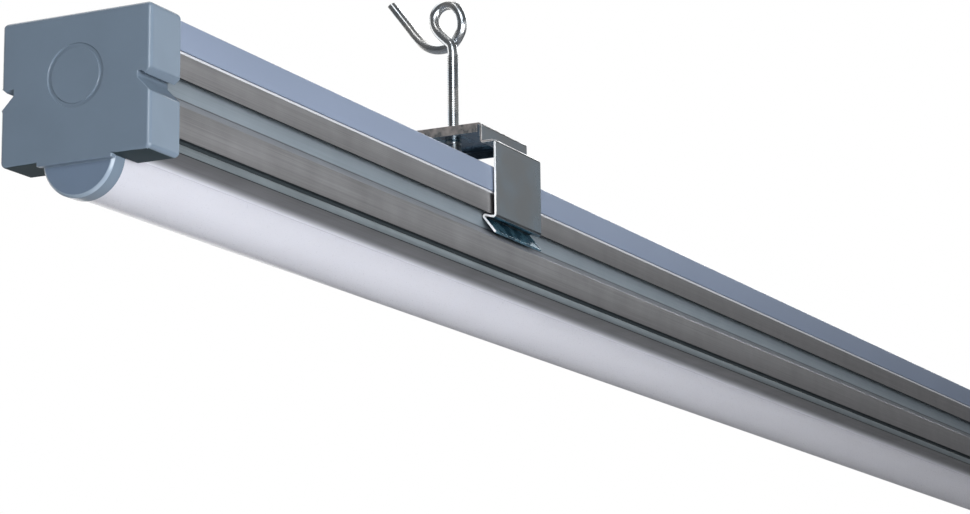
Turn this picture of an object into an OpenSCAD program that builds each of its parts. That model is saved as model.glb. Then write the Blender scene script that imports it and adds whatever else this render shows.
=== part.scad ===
// Suspended linear light fixture: an aluminium extrusion with a moulded cap at each end, a half-round
// opal lens below, and two spring clips with screw-in pigtail hooks that slide along its side grooves.
// X runs along the fixture, Y across it and Z up. The origin is the centre of the top face.

/* [Overall] */
// Length over the two end cap faces
fixture_l = 1500; // [1200:10:1800]
// Width over the top cover's skirts
cover_w = 60; // [58:0.5:66]
// Height of the side walls, from the top face to the bottom outer edge
wall_h = 48.5; // [47:0.5:56]

/* [Extrusion] */
// Wall thickness of the extrusion
wall_t = 1.4; // [1.2:0.1:1.6]
// How far the cover's skirts stand proud of the walls below them
skirt_proud = 0.4; // [0.2:0.1:0.6]
// Depth of the skirts below the top face
skirt_h = 10.9; // [9:0.1:11.5]
// Depth of the clip groove's lip below the top face
lip_z = 21.2; // [20.5:0.1:22]
// Rise of the lip's lower edge towards the inside
lip_rise = 0.4; // [0.2:0.1:0.5]
// Depth of the clip groove, from the outer wall to its inner wall
groove_d = 4.9; // [4.6:0.1:5.5]
// Depth of the clip groove's roof below the top face
groove_roof_z = 17; // [15.5:0.1:17.5]
// Depth of the groove's inner corner below the top face
groove_floor_z = 26.4; // [26:0.1:27]
// Depth of the small trim groove below the top face
trim_z = 43.1; // [42:0.1:43.5]
// Height of the small trim groove
trim_h = 2.1; // [1.5:0.1:2.5]
// Depth of the small trim groove into the wall
trim_d = 1.8; // [1:0.1:2]
// Depth of the shelf's upper face below the top face
shelf_z = 36.5; // [36.2:0.1:37.5]

/* [Lens] */
// Outer radius of the half-round lens
lens_r = 14.4; // [13.5:0.1:15]
// Wall of the lens
lens_t = 1.5; // [1.2:0.1:1.8]
// Depth of the lens's centre below the top face
lens_z = 49.9; // [49.7:0.1:50.5]
// Width of each foot that carries the lens, beyond its outer side
lens_foot = 2.4; // [1.8:0.1:3]
// Drop of the bead along the slot, below the walls' bottom edge
bead_drop = 1.5; // [1:0.1:1.8]

/* [End caps] */
// Depth of a cap along the fixture
cap_d = 19.3; // [16:0.1:24]
// Thickness of a cap's face
cap_face_t = 2; // [1.6:0.1:2.6]
// Wall of a cap round the extrusion
cap_wall = 1.3; // [1:0.1:1.4]
// Thickness of the end gasket
gasket_t = 1; // [0.8:0.1:1.5]
// Drop of the cap's middle tongue below its cheeks
tongue_drop = 1.3; // [1:0.1:1.6]
// Recess of the lens hood's face behind the cap's face
hood_recess = 2.7; // [2.2:0.1:3.2]
// How far the lens hood reaches along the fixture
hood_l = 10; // [8:0.5:12]
// Wall of the lens hood
hood_wall = 0.7; // [0.6:0.1:1]
// Depth of the cable entry's centre below the top face
entry_z = 21.4; // [21:0.1:21.6]
// Inner diameter of the knock-out's groove
knockout_d = 20.4; // [18:0.1:21]
// Width of the knock-out's groove
knockout_w = 1.5; // [1:0.1:2]

/* [Cable gland] */
// Diameter of the gland's threaded stub
gland_d = 20; // [16:0.5:20]
// Width across the flats of the gland's hexagons
gland_af = 24; // [22:0.5:24.5]
// Diameter of the seal's hole for the supply cable
cable_d = 10; // [8:0.5:11]

/* [Suspension clips] */
// Distance between the middles of the two clips
clip_pitch = 912; // [600:2:1000]
// Width of a clip along the fixture
clip_w = 45; // [38:0.5:60]
// Thickness of the clip's spring sheet
clip_t = 1; // [0.8:0.1:1.2]
// Height of the clip's plate above the top face
plate_z = 20.2; // [17:0.1:26]
// Height of the clip's shoulders above the top face
shoulder_z = 12; // [10:0.1:13]
// Width of the clip's plate between its webs
plate_w = 50.4; // [46:0.2:53]
// Gap between the clip's legs and the cover's skirts
leg_gap = 0.8; // [0.6:0.1:1]
// Depth of the plate's side flanges
flange_h = 4.3; // [3:0.1:5]
// Drop of the release tabs below the lips
tab_drop = 8; // [7:0.1:9]

/* [Hooks] */
// Diameter of the hook's rolled thread
thread_d = 5; // [4:0.5:6]
// Pitch of the hook's thread
thread_pitch = 0.8; // [0.7:0.1:1]
// Diameter of the hook's wire
wire_d = 4.5; // [3.5:0.1:4.8]
// Height of the thread's upper end above the top face
thread_top_z = 59.5; // [56:0.5:60]
// Height of the thread's lower end above the top face
thread_end_z = 12; // [11:0.5:13.5]
// Wall of the threaded bush in the clip's plate
bush_wall = 0.7; // [0.5:0.1:1]

/* [Light source] */
// Number of boards
board_n = 3; // [3:3]
// Width of a board
board_w = 24; // [20:0.5:25]
// Thickness of a board
board_t = 1.6; // [1:0.1:1.6]
// Gap between two boards
board_gap = 8; // [7.5:0.5:10]
// Light chips on each board
chips_per_board = 16; // [8:1:20]
// Side of a light chip
chip_w = 3; // [2:0.1:3.5]
// Height of a light chip
chip_h = 0.7; // [0.5:0.1:1]

/* [Driver] */
// Length of the driver
driver_l = 280; // [200:5:300]
// Width of the driver
driver_w = 30; // [28:0.5:34]
// Height of the driver
driver_h = 21; // [19:0.5:23]

/* [Hidden] */
// Clearances
fit_gap = 0.3;
slide_gap = 0.2;
lens_gap = 0.1;
run_gap = 0.05;
tab_gap = 0.3;
eps = 0.01;
// How far a cutter passes beyond what it cuts
over = 1;
round_fn = 64;

// Extrusion, worked out from the top face downwards
wall_y = cover_w / 2 - skirt_proud;
cover_t = 1.2;
cover_lap = 1;
cover_bead_r = 0.45;
groove_y = wall_y - groove_d;
flank_z = groove_floor_z + groove_d;
lens_slot = lens_r + lens_gap;
bead_w = 1.6;
bead_r = 5.5;
blend_steps = 8;
blend_sweep = acos(1 - bead_drop / bead_r);
floor_t = 1.6;
floor_z = wall_h - floor_t;
corner_block = 3.2;
shelf_t = 1.4;
lens_foot_t = 1.2;

// Cap
cap_gap = 0.3;
cap_off = cap_wall + cap_gap;
cap_w = cover_w / 2 + cap_off;
cap_lip_drop = 1.2;
cap_lip_run = 2.5;
cap_lip_fall = 2;
cap_curl_run = 1.5;
cap_curl_rise = 1.1;
cap_corner_r = 2;
cap_rear_r = 2.4;
knockout_deep = 0.5;
hood_gap = 0.2;
hood_r = lens_r + hood_gap + hood_wall;
hood_face_t = 1.4;
hood_rim_r = 0.9;
tongue_w = 2 * (hood_r + 0.5);
cap_bottom_z = wall_h + bead_drop + cap_off;
housing_l = fixture_l - 2 * (cap_face_t + gasket_t);
lens_l = fixture_l - 2 * (hood_recess + hood_face_t + hood_gap);

// Gland, outwards from the far cap's face
entry_hole_d = gland_d + 0.3;
gland_washer_t = 1.5;
gland_hex_t = 5;
gland_neck_d = 17.6;
gland_neck_l = 9;
gland_nut_l = 13;
gland_nut_hole_d = cable_d + 2.6;
gland_nut_floor = 2;
gland_locknut_t = 5;
gland_stub_l = 9;
gland_seal_t = 9;
gland_seat_d = gland_neck_d - 2.4;
gland_bore_d = cable_d + 1.4;
gland_dome_h = 4;
gland_dome_rim = 2.5;

// Clip
leg_y = cover_w / 2 + leg_gap + clip_t / 2;
web_y = plate_w / 2 - clip_t / 2;
tab_slope = lip_rise / wall_t;
tab_off = tab_gap + clip_t / 2 * sqrt(1 + tab_slope * tab_slope);
tab_clear = 0.3;
tab_bend_r = 0.6;
// The bend takes the tab's tip back from its corner by about this much
tab_bend_back = 0.8;
tab_tip_y = groove_y + tab_clear + clip_t / 2 - tab_bend_back;
function tab_line(y) = -lip_z - tab_off + (wall_y - y) * tab_slope;
bend_r = 1;
bend_steps = 4;
flange_relief = 1.3;
shoulder_corner_r = 2;

// Hook and bush
thread_tip = 0.8;
bush_hole_r = thread_d / 2 + run_gap;
bush_neck_r = bush_hole_r + bush_wall;
bush_collar_r = bush_neck_r + 0.35;
bush_groove_r = bush_hole_r + bush_wall / 2;
bush_lip_t = 0.6;
bush_shoulder_t = 1.2;
bush_gap_t = 0.4;
bush_body_t = 2.8;
eye_sides = 12;
eye_steps = 3;

// Boards, from the shelf downwards
board_margin = 37;
board_l = (fixture_l - 2 * board_margin - (board_n - 1) * board_gap) / board_n;
board_z = shelf_z + shelf_t;
chip_pitch = board_l / chips_per_board;
plug_l = board_gap + 14;
plug_w = 10;
plug_h = 3.6;
screw_r = 1.5;
screw_head_r = 2.8;
screw_head_h = 1.6;
screw_y = board_w / 2 - 4;
screw_inset = 20;

// Driver and mains parts on the shelf
feed_x = board_l / 2 + board_gap / 2;
feed_r = 1;
feed_bend_r = 6;
feed_z = -shelf_z + 13;
feed_hole_r = 3.5;
grommet_r = 4.5;
grommet_h = 1.3;
driver_x0 = feed_x + 26;
driver_rim = 3;
driver_ear = 12;
driver_ear_t = 2;
driver_lid_t = 1.2;
driver_block_l = 14;
driver_head_h = 2;
ear_hole_r = 2.1;
port_r = 1.6;
port_deep = 3;
block_l = 20;
block_w = 27;
block_h = 15;
block_poles = 3;
block_x0 = driver_x0 + driver_l + 60;
block_step = 3;
pole_pitch = block_w / block_poles;
pole_gap = 2.7;
pole_hole_r = 2.2;
pole_hole_z = 8;
way_r = 2;
way_deep = 6;
lead_r = 1.2;
lead_z = -shelf_z + 7;
earth_x = driver_x0 + driver_l + 24;
tag_r = 4.5;
tag_t = 0.8;
tag_hole_r = 2.1;
tag_neck_w = 3.2;
tag_l = 9;
tag_barrel_r = 1.9;
tag_barrel_l = 3;
earth_head_r = 3.8;
earth_head_h = 2.4;

// Right half of the extrusion's outer outline, grown by g, with the groove's roof at depth roof
function outline_half(g, roof) = [
  [0, g],
  [cover_w / 2 + g, g],
  [cover_w / 2 + g, -skirt_h - g],
  [wall_y + g, -skirt_h - g],
  [wall_y + g, -lip_z - g],
  [wall_y - wall_t - g, -lip_z + lip_rise - g],
  [wall_y - wall_t - g, -roof],
  [groove_y + g, -roof],
  [groove_y + g, -groove_floor_z + g * tan(22.5)],
  [wall_y + g, -flank_z + g * tan(22.5)],
  [wall_y + g, -wall_h - g]
];

// Runs a section, drawn as Y and Z, along X from x0 for a length
module along(x0, l) {
  translate([x0, 0, 0]) rotate([90, 0, 90]) linear_extrude(l) children();
}

module both_sides() {
  children();
  mirror([1, 0]) children();
}

// A rectangle from its lower left corner to its upper right one
module plate2(y0, z0, y1, z1) {
  translate([y0, z0]) square([y1 - y0, z1 - z0]);
}

// Right half of the extrusion's wall, from its top edge round the outside and back up the inside
function wall_half() = concat(
  [
    [wall_y - wall_t - cover_lap, -cover_t - slide_gap],
    [wall_y - cover_lap, -cover_t - slide_gap],
    [wall_y - cover_lap, -skirt_h - slide_gap],
    [wall_y, -skirt_h - slide_gap],
    [wall_y, -lip_z],
    [wall_y - wall_t, -lip_z + lip_rise],
    [wall_y - wall_t, -groove_roof_z],
    [groove_y, -groove_roof_z],
    [groove_y, -groove_floor_z],
    [wall_y, -flank_z],
    [wall_y, -trim_z],
    [wall_y - trim_d, -trim_z],
    [wall_y - trim_d, -trim_z - trim_h],
    [wall_y, -trim_z - trim_h],
    [wall_y, -wall_h]
  ],
  // Concave blend from the floor's underside down to the bead along the slot
  [for (k = [0:blend_steps]) let (a = 90 + blend_sweep * k / blend_steps)
    [lens_slot + bead_w + bead_r + bead_r * cos(a), -wall_h - bead_r + bead_r * sin(a)]],
  [
    [lens_slot, -wall_h - bead_drop],
    [lens_slot, -floor_z],
    [wall_y - corner_block, -floor_z],
    [wall_y - corner_block, -trim_z + wall_t],
    [wall_y - wall_t, -trim_z + wall_t],
    [wall_y - wall_t, -flank_z - wall_t * tan(22.5)],
    [groove_y - wall_t, -groove_floor_z - wall_t * tan(22.5)],
    [groove_y - wall_t, -groove_roof_z + wall_t],
    [wall_y - wall_t - cover_lap, -groove_roof_z + wall_t]
  ]
);

module housing() {
  color("#8a8d92") difference() {
    union() {
      along(-housing_l / 2, housing_l) both_sides() difference() {
        polygon(wall_half());
        // Seat of the bead inside the cover's skirt
        translate([wall_y - cover_lap, -skirt_h / 2]) circle(r = cover_bead_r + fit_gap / 3, $fn = round_fn);
      }
      along(-housing_l / 2, housing_l)
        plate2(-wall_y + wall_t / 2, -shelf_z - shelf_t, wall_y - wall_t / 2, -shelf_z);
    }
    translate([feed_x, 0, -shelf_z - shelf_t - over]) cylinder(r = feed_hole_r,
      h = shelf_t + 2 * over, $fn = round_fn);
  }
}

module top_cover() {
  color("#93a0b4") along(-housing_l / 2, housing_l) {
    plate2(-cover_w / 2, -cover_t, cover_w / 2, 0);
    both_sides() {
      plate2(wall_y - cover_lap + slide_gap, -skirt_h, cover_w / 2, 0);
      translate([wall_y - cover_lap + slide_gap, -skirt_h / 2]) circle(r = cover_bead_r, $fn = round_fn);
    }
  }
}

module lens_section(r, leg_top) {
  intersection() {
    translate([0, -lens_z]) circle(r = r, $fn = 2 * round_fn);
    plate2(-r, -lens_z - r, r, -lens_z);
  }
  plate2(-r, -lens_z - eps, r, leg_top);
}

module diffuser() {
  foot_z = -floor_z + lens_gap;
  color("#dfe2ea") along(-lens_l / 2, lens_l) {
    difference() {
      lens_section(lens_r, foot_z + lens_foot_t);
      lens_section(lens_r - lens_t, foot_z + lens_foot_t + over);
    }
  }
  color("#dfe2ea") along(-housing_l / 2, housing_l) both_sides()
    plate2(lens_r - eps, foot_z, lens_r + lens_foot, foot_z + lens_foot_t);
}

// A right half outline, drawn on both sides as one
module whole(half) {
  n = len(half) - 1;
  polygon(concat(half, [for (i = [n:-1:0]) if (half[i][0] > 0) [-half[i][0], half[i][1]]]));
}

// A cap's outline: flush sides, with a notch at the clip groove under a lip that curls inwards
module cap_outline() {
  cap_lip_z = -lip_z - cap_lip_drop;
  cap_curl_z = cap_lip_z - cap_lip_fall + cap_curl_rise;
  difference() {
    whole([
      [0, cap_off],
      [cap_w, cap_off],
      [cap_w, cap_lip_z],
      [cap_w - cap_lip_run, cap_lip_z - cap_lip_fall],
      [cap_w - cap_lip_run - cap_curl_run, cap_curl_z],
      [groove_y + cap_off, cap_curl_z],
      [groove_y + cap_off, -groove_floor_z + cap_off * tan(22.5)],
      [cap_w, -flank_z + cap_off * tan(22.5) - skirt_proud],
      [cap_w, -cap_bottom_z],
      [0, -cap_bottom_z]
    ]);
    both_sides() cap_corners(cap_w, cap_corner_r);
  }
}

// The upper and the lower corner of a cap at y, rounded with radius r
module cap_corners(y, r) {
  corner_cut(y, cap_off, r, 1);
  corner_cut(y, -cap_bottom_z, r, -1);
}

// What a round corner of radius r leaves away at the point y, z; up is 1 for a top corner
module corner_cut(y, z, r, up) {
  difference() {
    translate([y - r, up > 0 ? z - r : z - over]) square([r + over, r + over]);
    translate([y - r, z - up * r]) circle(r = r, $fn = round_fn);
  }
}

// The space inside a cap: the extrusion's outline with its working gap
module cap_space() {
  w = lens_slot + bead_w + bead_r;
  whole(concat(outline_half(cap_gap, groove_roof_z + cap_gap), [[0, -wall_h - cap_gap]]));
  plate2(-w, -wall_h - bead_drop - cap_gap, w, -wall_h);
}

// A cap in its own frame: its face at x = 0, reaching along +X
module end_cap() {
  difference() {
    union() {
      along(0, cap_d) cap_outline();
      along(0, hood_recess) plate2(-tongue_w / 2, -cap_bottom_z - tongue_drop, tongue_w / 2,
        -cap_bottom_z + eps);
      hood();
    }
    along(cap_face_t, cap_d) cap_space();
    along(hood_recess + hood_face_t, cap_d) lens_section(lens_r + hood_gap, -wall_h);
    // Behind the hood the underside is open, as wide as the hood
    along(hood_l, cap_d) plate2(-hood_r, -cap_bottom_z - over, hood_r, -wall_h - bead_drop);
    // Round rear edges of the top and the underside
    rotate([90, 0, 0]) linear_extrude(2 * (cap_w + over), center = true) cap_corners(cap_d, cap_rear_r);
  }
}

// Half-round hood over the end of the lens, its rim rounded by a bevel
module hood() {
  intersection() {
    translate([hood_recess, 0, -lens_z]) rotate([0, 90, 0]) {
      cylinder(r1 = hood_r - hood_rim_r, r2 = hood_r, h = hood_rim_r, $fn = 2 * round_fn);
      translate([0, 0, hood_rim_r]) cylinder(r = hood_r, h = hood_l - hood_recess - hood_rim_r,
        $fn = 2 * round_fn);
    }
    translate([0, -2 * hood_r, -lens_z - 2 * hood_r]) cube([cap_d, 4 * hood_r, 2 * hood_r]);
  }
}

module end_cap_near() {
  color("#66727f") translate([-fixture_l / 2, 0, 0]) difference() {
    end_cap();
    translate([-over, 0, -entry_z]) rotate([0, 90, 0]) difference() {
      cylinder(d = knockout_d + 2 * knockout_w, h = over + knockout_deep, $fn = round_fn);
      translate([0, 0, -over]) cylinder(d = knockout_d, h = 4 * over, $fn = round_fn);
    }
  }
}

module end_cap_far() {
  color("#66727f") translate([fixture_l / 2, 0, 0]) mirror([1, 0, 0]) difference() {
    end_cap();
    translate([-over, 0, -entry_z]) rotate([0, 90, 0]) cylinder(d = entry_hole_d, h = cap_face_t + 2 * over,
      $fn = round_fn);
  }
}

// Soft gasket between a cap's face and the end of the extrusion, as wide as its walls
module gasket_section() {
  gasket_slot = lens_slot + lens_foot + over;
  difference() {
    whole(concat(outline_half(0, groove_roof_z), [[0, -wall_h]]));
    plate2(-groove_y + 2 * wall_t, -shelf_z, groove_y - 2 * wall_t, -cover_t - wall_t);
    plate2(-gasket_slot, -wall_h - over, gasket_slot, -board_z - board_t);
  }
}

module end_gasket_near() {
  color("#26282b") along(-fixture_l / 2 + cap_face_t, gasket_t) gasket_section();
}

module end_gasket_far() {
  color("#26282b") along(fixture_l / 2 - cap_face_t - gasket_t, gasket_t) gasket_section();
}

function board_x(i) = (i - (board_n - 1) / 2) * (board_l + board_gap);

module led_board(i) {
  color("#f2f2ee") difference() {
    translate([board_x(i) - board_l / 2, -board_w / 2, -board_z - board_t])
      cube([board_l, board_w, board_t]);
    at_screws(i) cylinder(r = screw_r + run_gap, h = 3 * board_t, center = true, $fn = 24);
  }
}

// The places of one board's screws, on its lower face
module at_screws(i) {
  for (sx = [-1, 1]) for (sy = [-1, 1])
    translate([board_x(i) + sx * (board_l / 2 - screw_inset), sy * screw_y, -board_z - board_t])
      children();
}

module led_board_1() { led_board(0); }
module led_board_2() { led_board(1); }
module led_board_3() { led_board(2); }

module led_chips() {
  color("#f4d35e") for (i = [0:board_n - 1]) for (k = [0:chips_per_board - 1])
    translate([board_x(i) + (k - (chips_per_board - 1) / 2) * chip_pitch, 0,
      -board_z - board_t - chip_h / 2]) cube([chip_w, chip_w, chip_h], center = true);
}

// Each screw's shank ends at the shelf, into which it is driven
module board_screws() {
  color("#c8c8c4") for (i = [0:board_n - 1]) at_screws(i) {
    translate([0, 0, -screw_head_h]) cylinder(r = screw_head_r, h = screw_head_h, $fn = 24);
    cylinder(r = screw_r, h = board_t, $fn = 24);
  }
}

// Bridging plugs under the gaps between the boards; each has a stem that fills its gap
module board_plugs() {
  color("#f0efe8") for (i = [0:board_n - 2]) {
    x = board_x(i) + (board_l + board_gap) / 2;
    translate([x - plug_l / 2, -plug_w / 2, -board_z - board_t - plug_h])
      cube([plug_l, plug_w, plug_h]);
    translate([x - board_gap / 2 + fit_gap, -plug_w / 2, -board_z - board_t - eps])
      cube([board_gap - 2 * fit_gap, plug_w, board_t]);
  }
}

// Slim driver: a case with an ear at each end, screwed to the shelf
module driver_case() {
  body_l = driver_l - 2 * driver_ear;
  color("#e9e9e6") difference() {
    union() {
      translate([driver_x0, -driver_w / 2, -shelf_z]) cube([driver_l, driver_w, driver_ear_t]);
      translate([driver_x0 + driver_ear, -driver_w / 2, -shelf_z])
        cube([body_l, driver_w, driver_h - driver_lid_t]);
    }
    // Pockets for the terminal blocks
    for (x = [driver_x0 + driver_ear - over, driver_x0 + driver_l - driver_ear - driver_block_l])
      translate([x, -driver_w / 2 + driver_rim, -shelf_z + driver_rim])
        cube([driver_block_l + over, driver_w - 2 * driver_rim, driver_h]);
    at_ears() translate([0, 0, -over])
      cylinder(r = ear_hole_r, h = driver_ear_t + 2 * over, $fn = 24);
  }
}

// The middle of each ear of the driver, on the shelf
module at_ears() {
  for (x = [driver_x0 + driver_ear / 2, driver_x0 + driver_l - driver_ear / 2])
    translate([x, driver_w / 4, -shelf_z]) children();
}

module driver_lid() {
  color("#d9dadb") translate([driver_x0 + driver_ear, -driver_w / 2, -shelf_z + driver_h - driver_lid_t])
    cube([driver_l - 2 * driver_ear, driver_w, driver_lid_t]);
}

module driver_screws() {
  color("#c8c8c4") at_ears() {
    cylinder(r = ear_hole_r - run_gap, h = driver_ear_t, $fn = 24);
    translate([0, 0, driver_ear_t]) cylinder(r = 2 * ear_hole_r, h = driver_head_h, $fn = 24);
  }
}

// A block of push-in terminals in a pocket of the driver, with a port for each lead in its face
module push_block(x, face, ports, z) {
  color("#f6f6f2") difference() {
    translate([x, -driver_w / 2 + driver_rim + slide_gap, -shelf_z + driver_rim])
      cube([driver_block_l, driver_w - 2 * (driver_rim + slide_gap),
        driver_h - driver_lid_t - driver_rim - slide_gap]);
    for (y = ports) translate([face, y, z]) rotate([0, 90, 0])
      cylinder(r = port_r, h = 2 * port_deep, center = true, $fn = 24);
  }
}

module driver_input_block() {
  x = driver_x0 + driver_l - driver_ear - driver_block_l;
  push_block(x, x + driver_block_l, [-pole_pitch, 0], lead_z);
}

module driver_output_block() {
  x = driver_x0 + driver_ear;
  push_block(x, x, [0], feed_z);
}

// Mains terminal block: three poles in one moulding, with a clamp screw shaft over each way
module terminal_block() {
  color("#f6f6f2") difference() {
    union() {
      translate([block_x0, -block_w / 2, -shelf_z]) cube([block_l, block_w, block_h - block_step]);
      at_poles() translate([block_step, (pole_gap - pole_pitch) / 2, 0])
        cube([block_l - 2 * block_step, pole_pitch - pole_gap, block_h]);
    }
    at_poles() {
      translate([block_l / 2, 0, pole_hole_z]) cylinder(r = pole_hole_r, h = block_h, $fn = 24);
      translate([block_l - way_deep, 0, lead_z + shelf_z]) rotate([0, 90, 0])
        cylinder(r = way_r, h = way_deep + over, $fn = 24);
    }
  }
}

module at_poles() {
  for (k = [0:block_poles - 1])
    translate([block_x0, (k - (block_poles - 1) / 2) * pole_pitch, -shelf_z]) children();
}

// A straight lead from x0 to the terminal block
module mains_lead(x0, y) {
  translate([x0, y, lead_z]) rotate([0, 90, 0]) cylinder(r = lead_r, h = block_x0 - x0, $fn = 24);
}

module live_lead() {
  color("saddlebrown") mains_lead(driver_x0 + driver_l - driver_ear - port_deep, -pole_pitch);
}

module neutral_lead() {
  color("royalblue") mains_lead(driver_x0 + driver_l - driver_ear - port_deep, 0);
}

// The earth lead ends at the tag that is screwed to the shelf
module earth_lead() {
  color("yellowgreen") mains_lead(earth_x + tag_l + tag_barrel_l, pole_pitch);
}

// Ring tag with its neck bent up to the barrel that grips the lead
module earth_tag() {
  color("#d8b45a") translate([earth_x, pole_pitch, -shelf_z]) {
    difference() {
      union() {
        cylinder(r = tag_r, h = tag_t, $fn = 32);
        translate([0, -tag_neck_w / 2, 0]) cube([tag_l, tag_neck_w, tag_t]);
      }
      translate([0, 0, -over]) cylinder(r = tag_hole_r, h = tag_t + 2 * over, $fn = 24);
    }
    translate([tag_l - tag_t, -tag_neck_w / 2, 0])
      cube([tag_t, tag_neck_w, lead_z + shelf_z + tag_barrel_r]);
    translate([tag_l - tag_t, 0, lead_z + shelf_z]) rotate([0, 90, 0])
      cylinder(r = tag_barrel_r, h = tag_barrel_l + tag_t, $fn = 24);
  }
}

module earth_screw() {
  color("#3f9d4b") translate([earth_x, pole_pitch, -shelf_z]) {
    cylinder(r = tag_hole_r - run_gap, h = tag_t, $fn = 24);
    translate([0, 0, tag_t]) cylinder(r = earth_head_r, h = earth_head_h, $fn = 32);
  }
}

// Lead from the driver's output, bent down through the shelf to the plug between two boards
module led_lead() {
  run = driver_x0 + driver_ear + port_deep - feed_x - feed_bend_r;
  color("#c33a34") translate([feed_x, 0, 0]) {
    translate([feed_bend_r, 0, feed_z]) rotate([0, 90, 0]) cylinder(r = feed_r, h = run, $fn = 24);
    translate([feed_bend_r, 0, feed_z - feed_bend_r]) rotate([-90, 0, 0]) rotate([0, 0, 180])
      rotate_extrude(angle = 90, $fn = 48) translate([feed_bend_r, 0]) circle(r = feed_r, $fn = 24);
    translate([0, 0, -board_z]) cylinder(r = feed_r, h = feed_z - feed_bend_r + board_z, $fn = 24);
  }
}

module shelf_grommet() {
  color("#26282b") translate([feed_x, 0, -shelf_z]) difference() {
    union() {
      cylinder(r = grommet_r, h = grommet_h, $fn = 32);
      translate([0, 0, -shelf_t]) cylinder(r = feed_hole_r - run_gap, h = shelf_t, $fn = 32);
    }
    translate([0, 0, -shelf_t - over])
      cylinder(r = feed_r + run_gap, h = shelf_t + grommet_h + 2 * over, $fn = 24);
  }
}

// Carries a gland part on the cable's axis, its own z = 0 at the far cap's face, pointing outwards
module at_gland() {
  translate([fixture_l / 2, 0, -entry_z]) rotate([0, 90, 0]) children();
}

module gland_washer() {
  color("#26282b") at_gland() difference() {
    cylinder(r = gland_af / 2, h = gland_washer_t, $fn = round_fn);
    translate([0, 0, -over]) cylinder(d = entry_hole_d, h = gland_washer_t + 2 * over, $fn = round_fn);
  }
}

module gland_body() {
  hex_z = gland_washer_t;
  neck_z = hex_z + gland_hex_t;
  color("#8b929b") at_gland() difference() {
    union() {
      translate([0, 0, -gland_stub_l]) cylinder(d = gland_d, h = gland_stub_l + hex_z + eps,
        $fn = round_fn);
      translate([0, 0, hex_z]) cylinder(d = gland_af / cos(30), h = gland_hex_t, $fn = 6);
      translate([0, 0, neck_z - eps]) cylinder(d = gland_neck_d, h = gland_neck_l + eps, $fn = round_fn);
    }
    translate([0, 0, -gland_stub_l - over])
      cylinder(d = gland_bore_d, h = gland_stub_l + neck_z + 2 * over, $fn = round_fn);
    translate([0, 0, neck_z]) cylinder(d = gland_seat_d, h = gland_neck_l + over, $fn = round_fn);
  }
}

module gland_locknut() {
  color("#8b929b") at_gland() translate([0, 0, -cap_face_t - gland_locknut_t]) difference() {
    cylinder(d = gland_af / cos(30), h = gland_locknut_t, $fn = 6);
    translate([0, 0, -over]) cylinder(d = gland_d + 2 * run_gap, h = gland_locknut_t + 2 * over,
      $fn = round_fn);
  }
}

// Ribbed seal that the dome nut squeezes onto the cable
module gland_seal() {
  z0 = gland_washer_t + gland_hex_t;
  color("#26282b") at_gland() translate([0, 0, z0]) difference() {
    cylinder(d = gland_seat_d - 2 * run_gap, h = gland_seal_t, $fn = round_fn);
    translate([0, 0, -over]) cylinder(d = cable_d, h = gland_seal_t + 2 * over, $fn = round_fn);
  }
}

module gland_dome_nut() {
  z0 = gland_washer_t + gland_hex_t + fit_gap;
  hex_l = gland_nut_l - gland_dome_h;
  corner_d = gland_af / cos(30);
  color("#8b929b") at_gland() translate([0, 0, z0]) difference() {
    union() {
      cylinder(d = corner_d, h = hex_l, $fn = 6);
      intersection() {
        translate([0, 0, hex_l - eps]) cylinder(d = corner_d, h = gland_dome_h + eps, $fn = 6);
        translate([0, 0, hex_l - eps]) cylinder(d1 = corner_d, d2 = gland_nut_hole_d + 2 * gland_dome_rim,
          h = gland_dome_h + eps, $fn = round_fn);
      }
    }
    translate([0, 0, -over]) cylinder(d = gland_neck_d + 2 * run_gap,
      h = gland_nut_l - gland_nut_floor + over, $fn = round_fn);
    cylinder(d = gland_nut_hole_d, h = gland_nut_l + over, $fn = round_fn);
  }
}

function unit(v) = v / norm(v);

// Replaces each inner corner of a path by an arc of its own radius in the given number of steps
function rounded(pts, radii, steps) = [
  for (i = [0:len(pts) - 1])
    if (i == 0 || i == len(pts) - 1) pts[i]
    else let (
      a = unit(pts[i - 1] - pts[i]),
      b = unit(pts[i + 1] - pts[i]),
      half = acos(a * b) / 2,
      r = radii[i],
      m = pts[i] + unit(a + b) * r / sin(half),
      t0 = pts[i] + a * r / tan(half) - m,
      t1 = pts[i] + b * r / tan(half) - m,
      sweep = 180 - 2 * half
    ) for (k = [0:steps]) let (w = k / steps)
      m + (t0 * sin((1 - w) * sweep) + t1 * sin(w * sweep)) / sin(sweep)
];

// One side of a strip of thickness t along a path
function strip_side(path, t) = [
  for (i = [0:len(path) - 1]) let (
    a = i == 0 ? unit(path[1] - path[0]) : unit(path[i] - path[i - 1]),
    b = i == len(path) - 1 ? a : unit(path[i + 1] - path[i]),
    n = unit([-a[1] - b[1], a[0] + b[0]])
  ) path[i] + n * t / 2 / (n * [-a[1], a[0]])
];

module strip(path, t) {
  back = strip_side(path, -t);
  polygon(concat(strip_side(path, t), [for (i = [len(back) - 1:-1:0]) back[i]]));
}

// Middle line of the clip's sheet on one side, from the plate to the end of the release tab
clip_path = [
  [0, plate_z - clip_t / 2],
  [web_y, plate_z - clip_t / 2],
  [web_y, shoulder_z - clip_t / 2],
  [leg_y, shoulder_z - clip_t / 2],
  [leg_y, tab_line(leg_y)],
  [tab_tip_y, tab_line(tab_tip_y)],
  [leg_y, -lip_z - tab_drop]
];
clip_bends = [0, bend_r, bend_r, bend_r, bend_r, tab_bend_r, 0];

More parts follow.
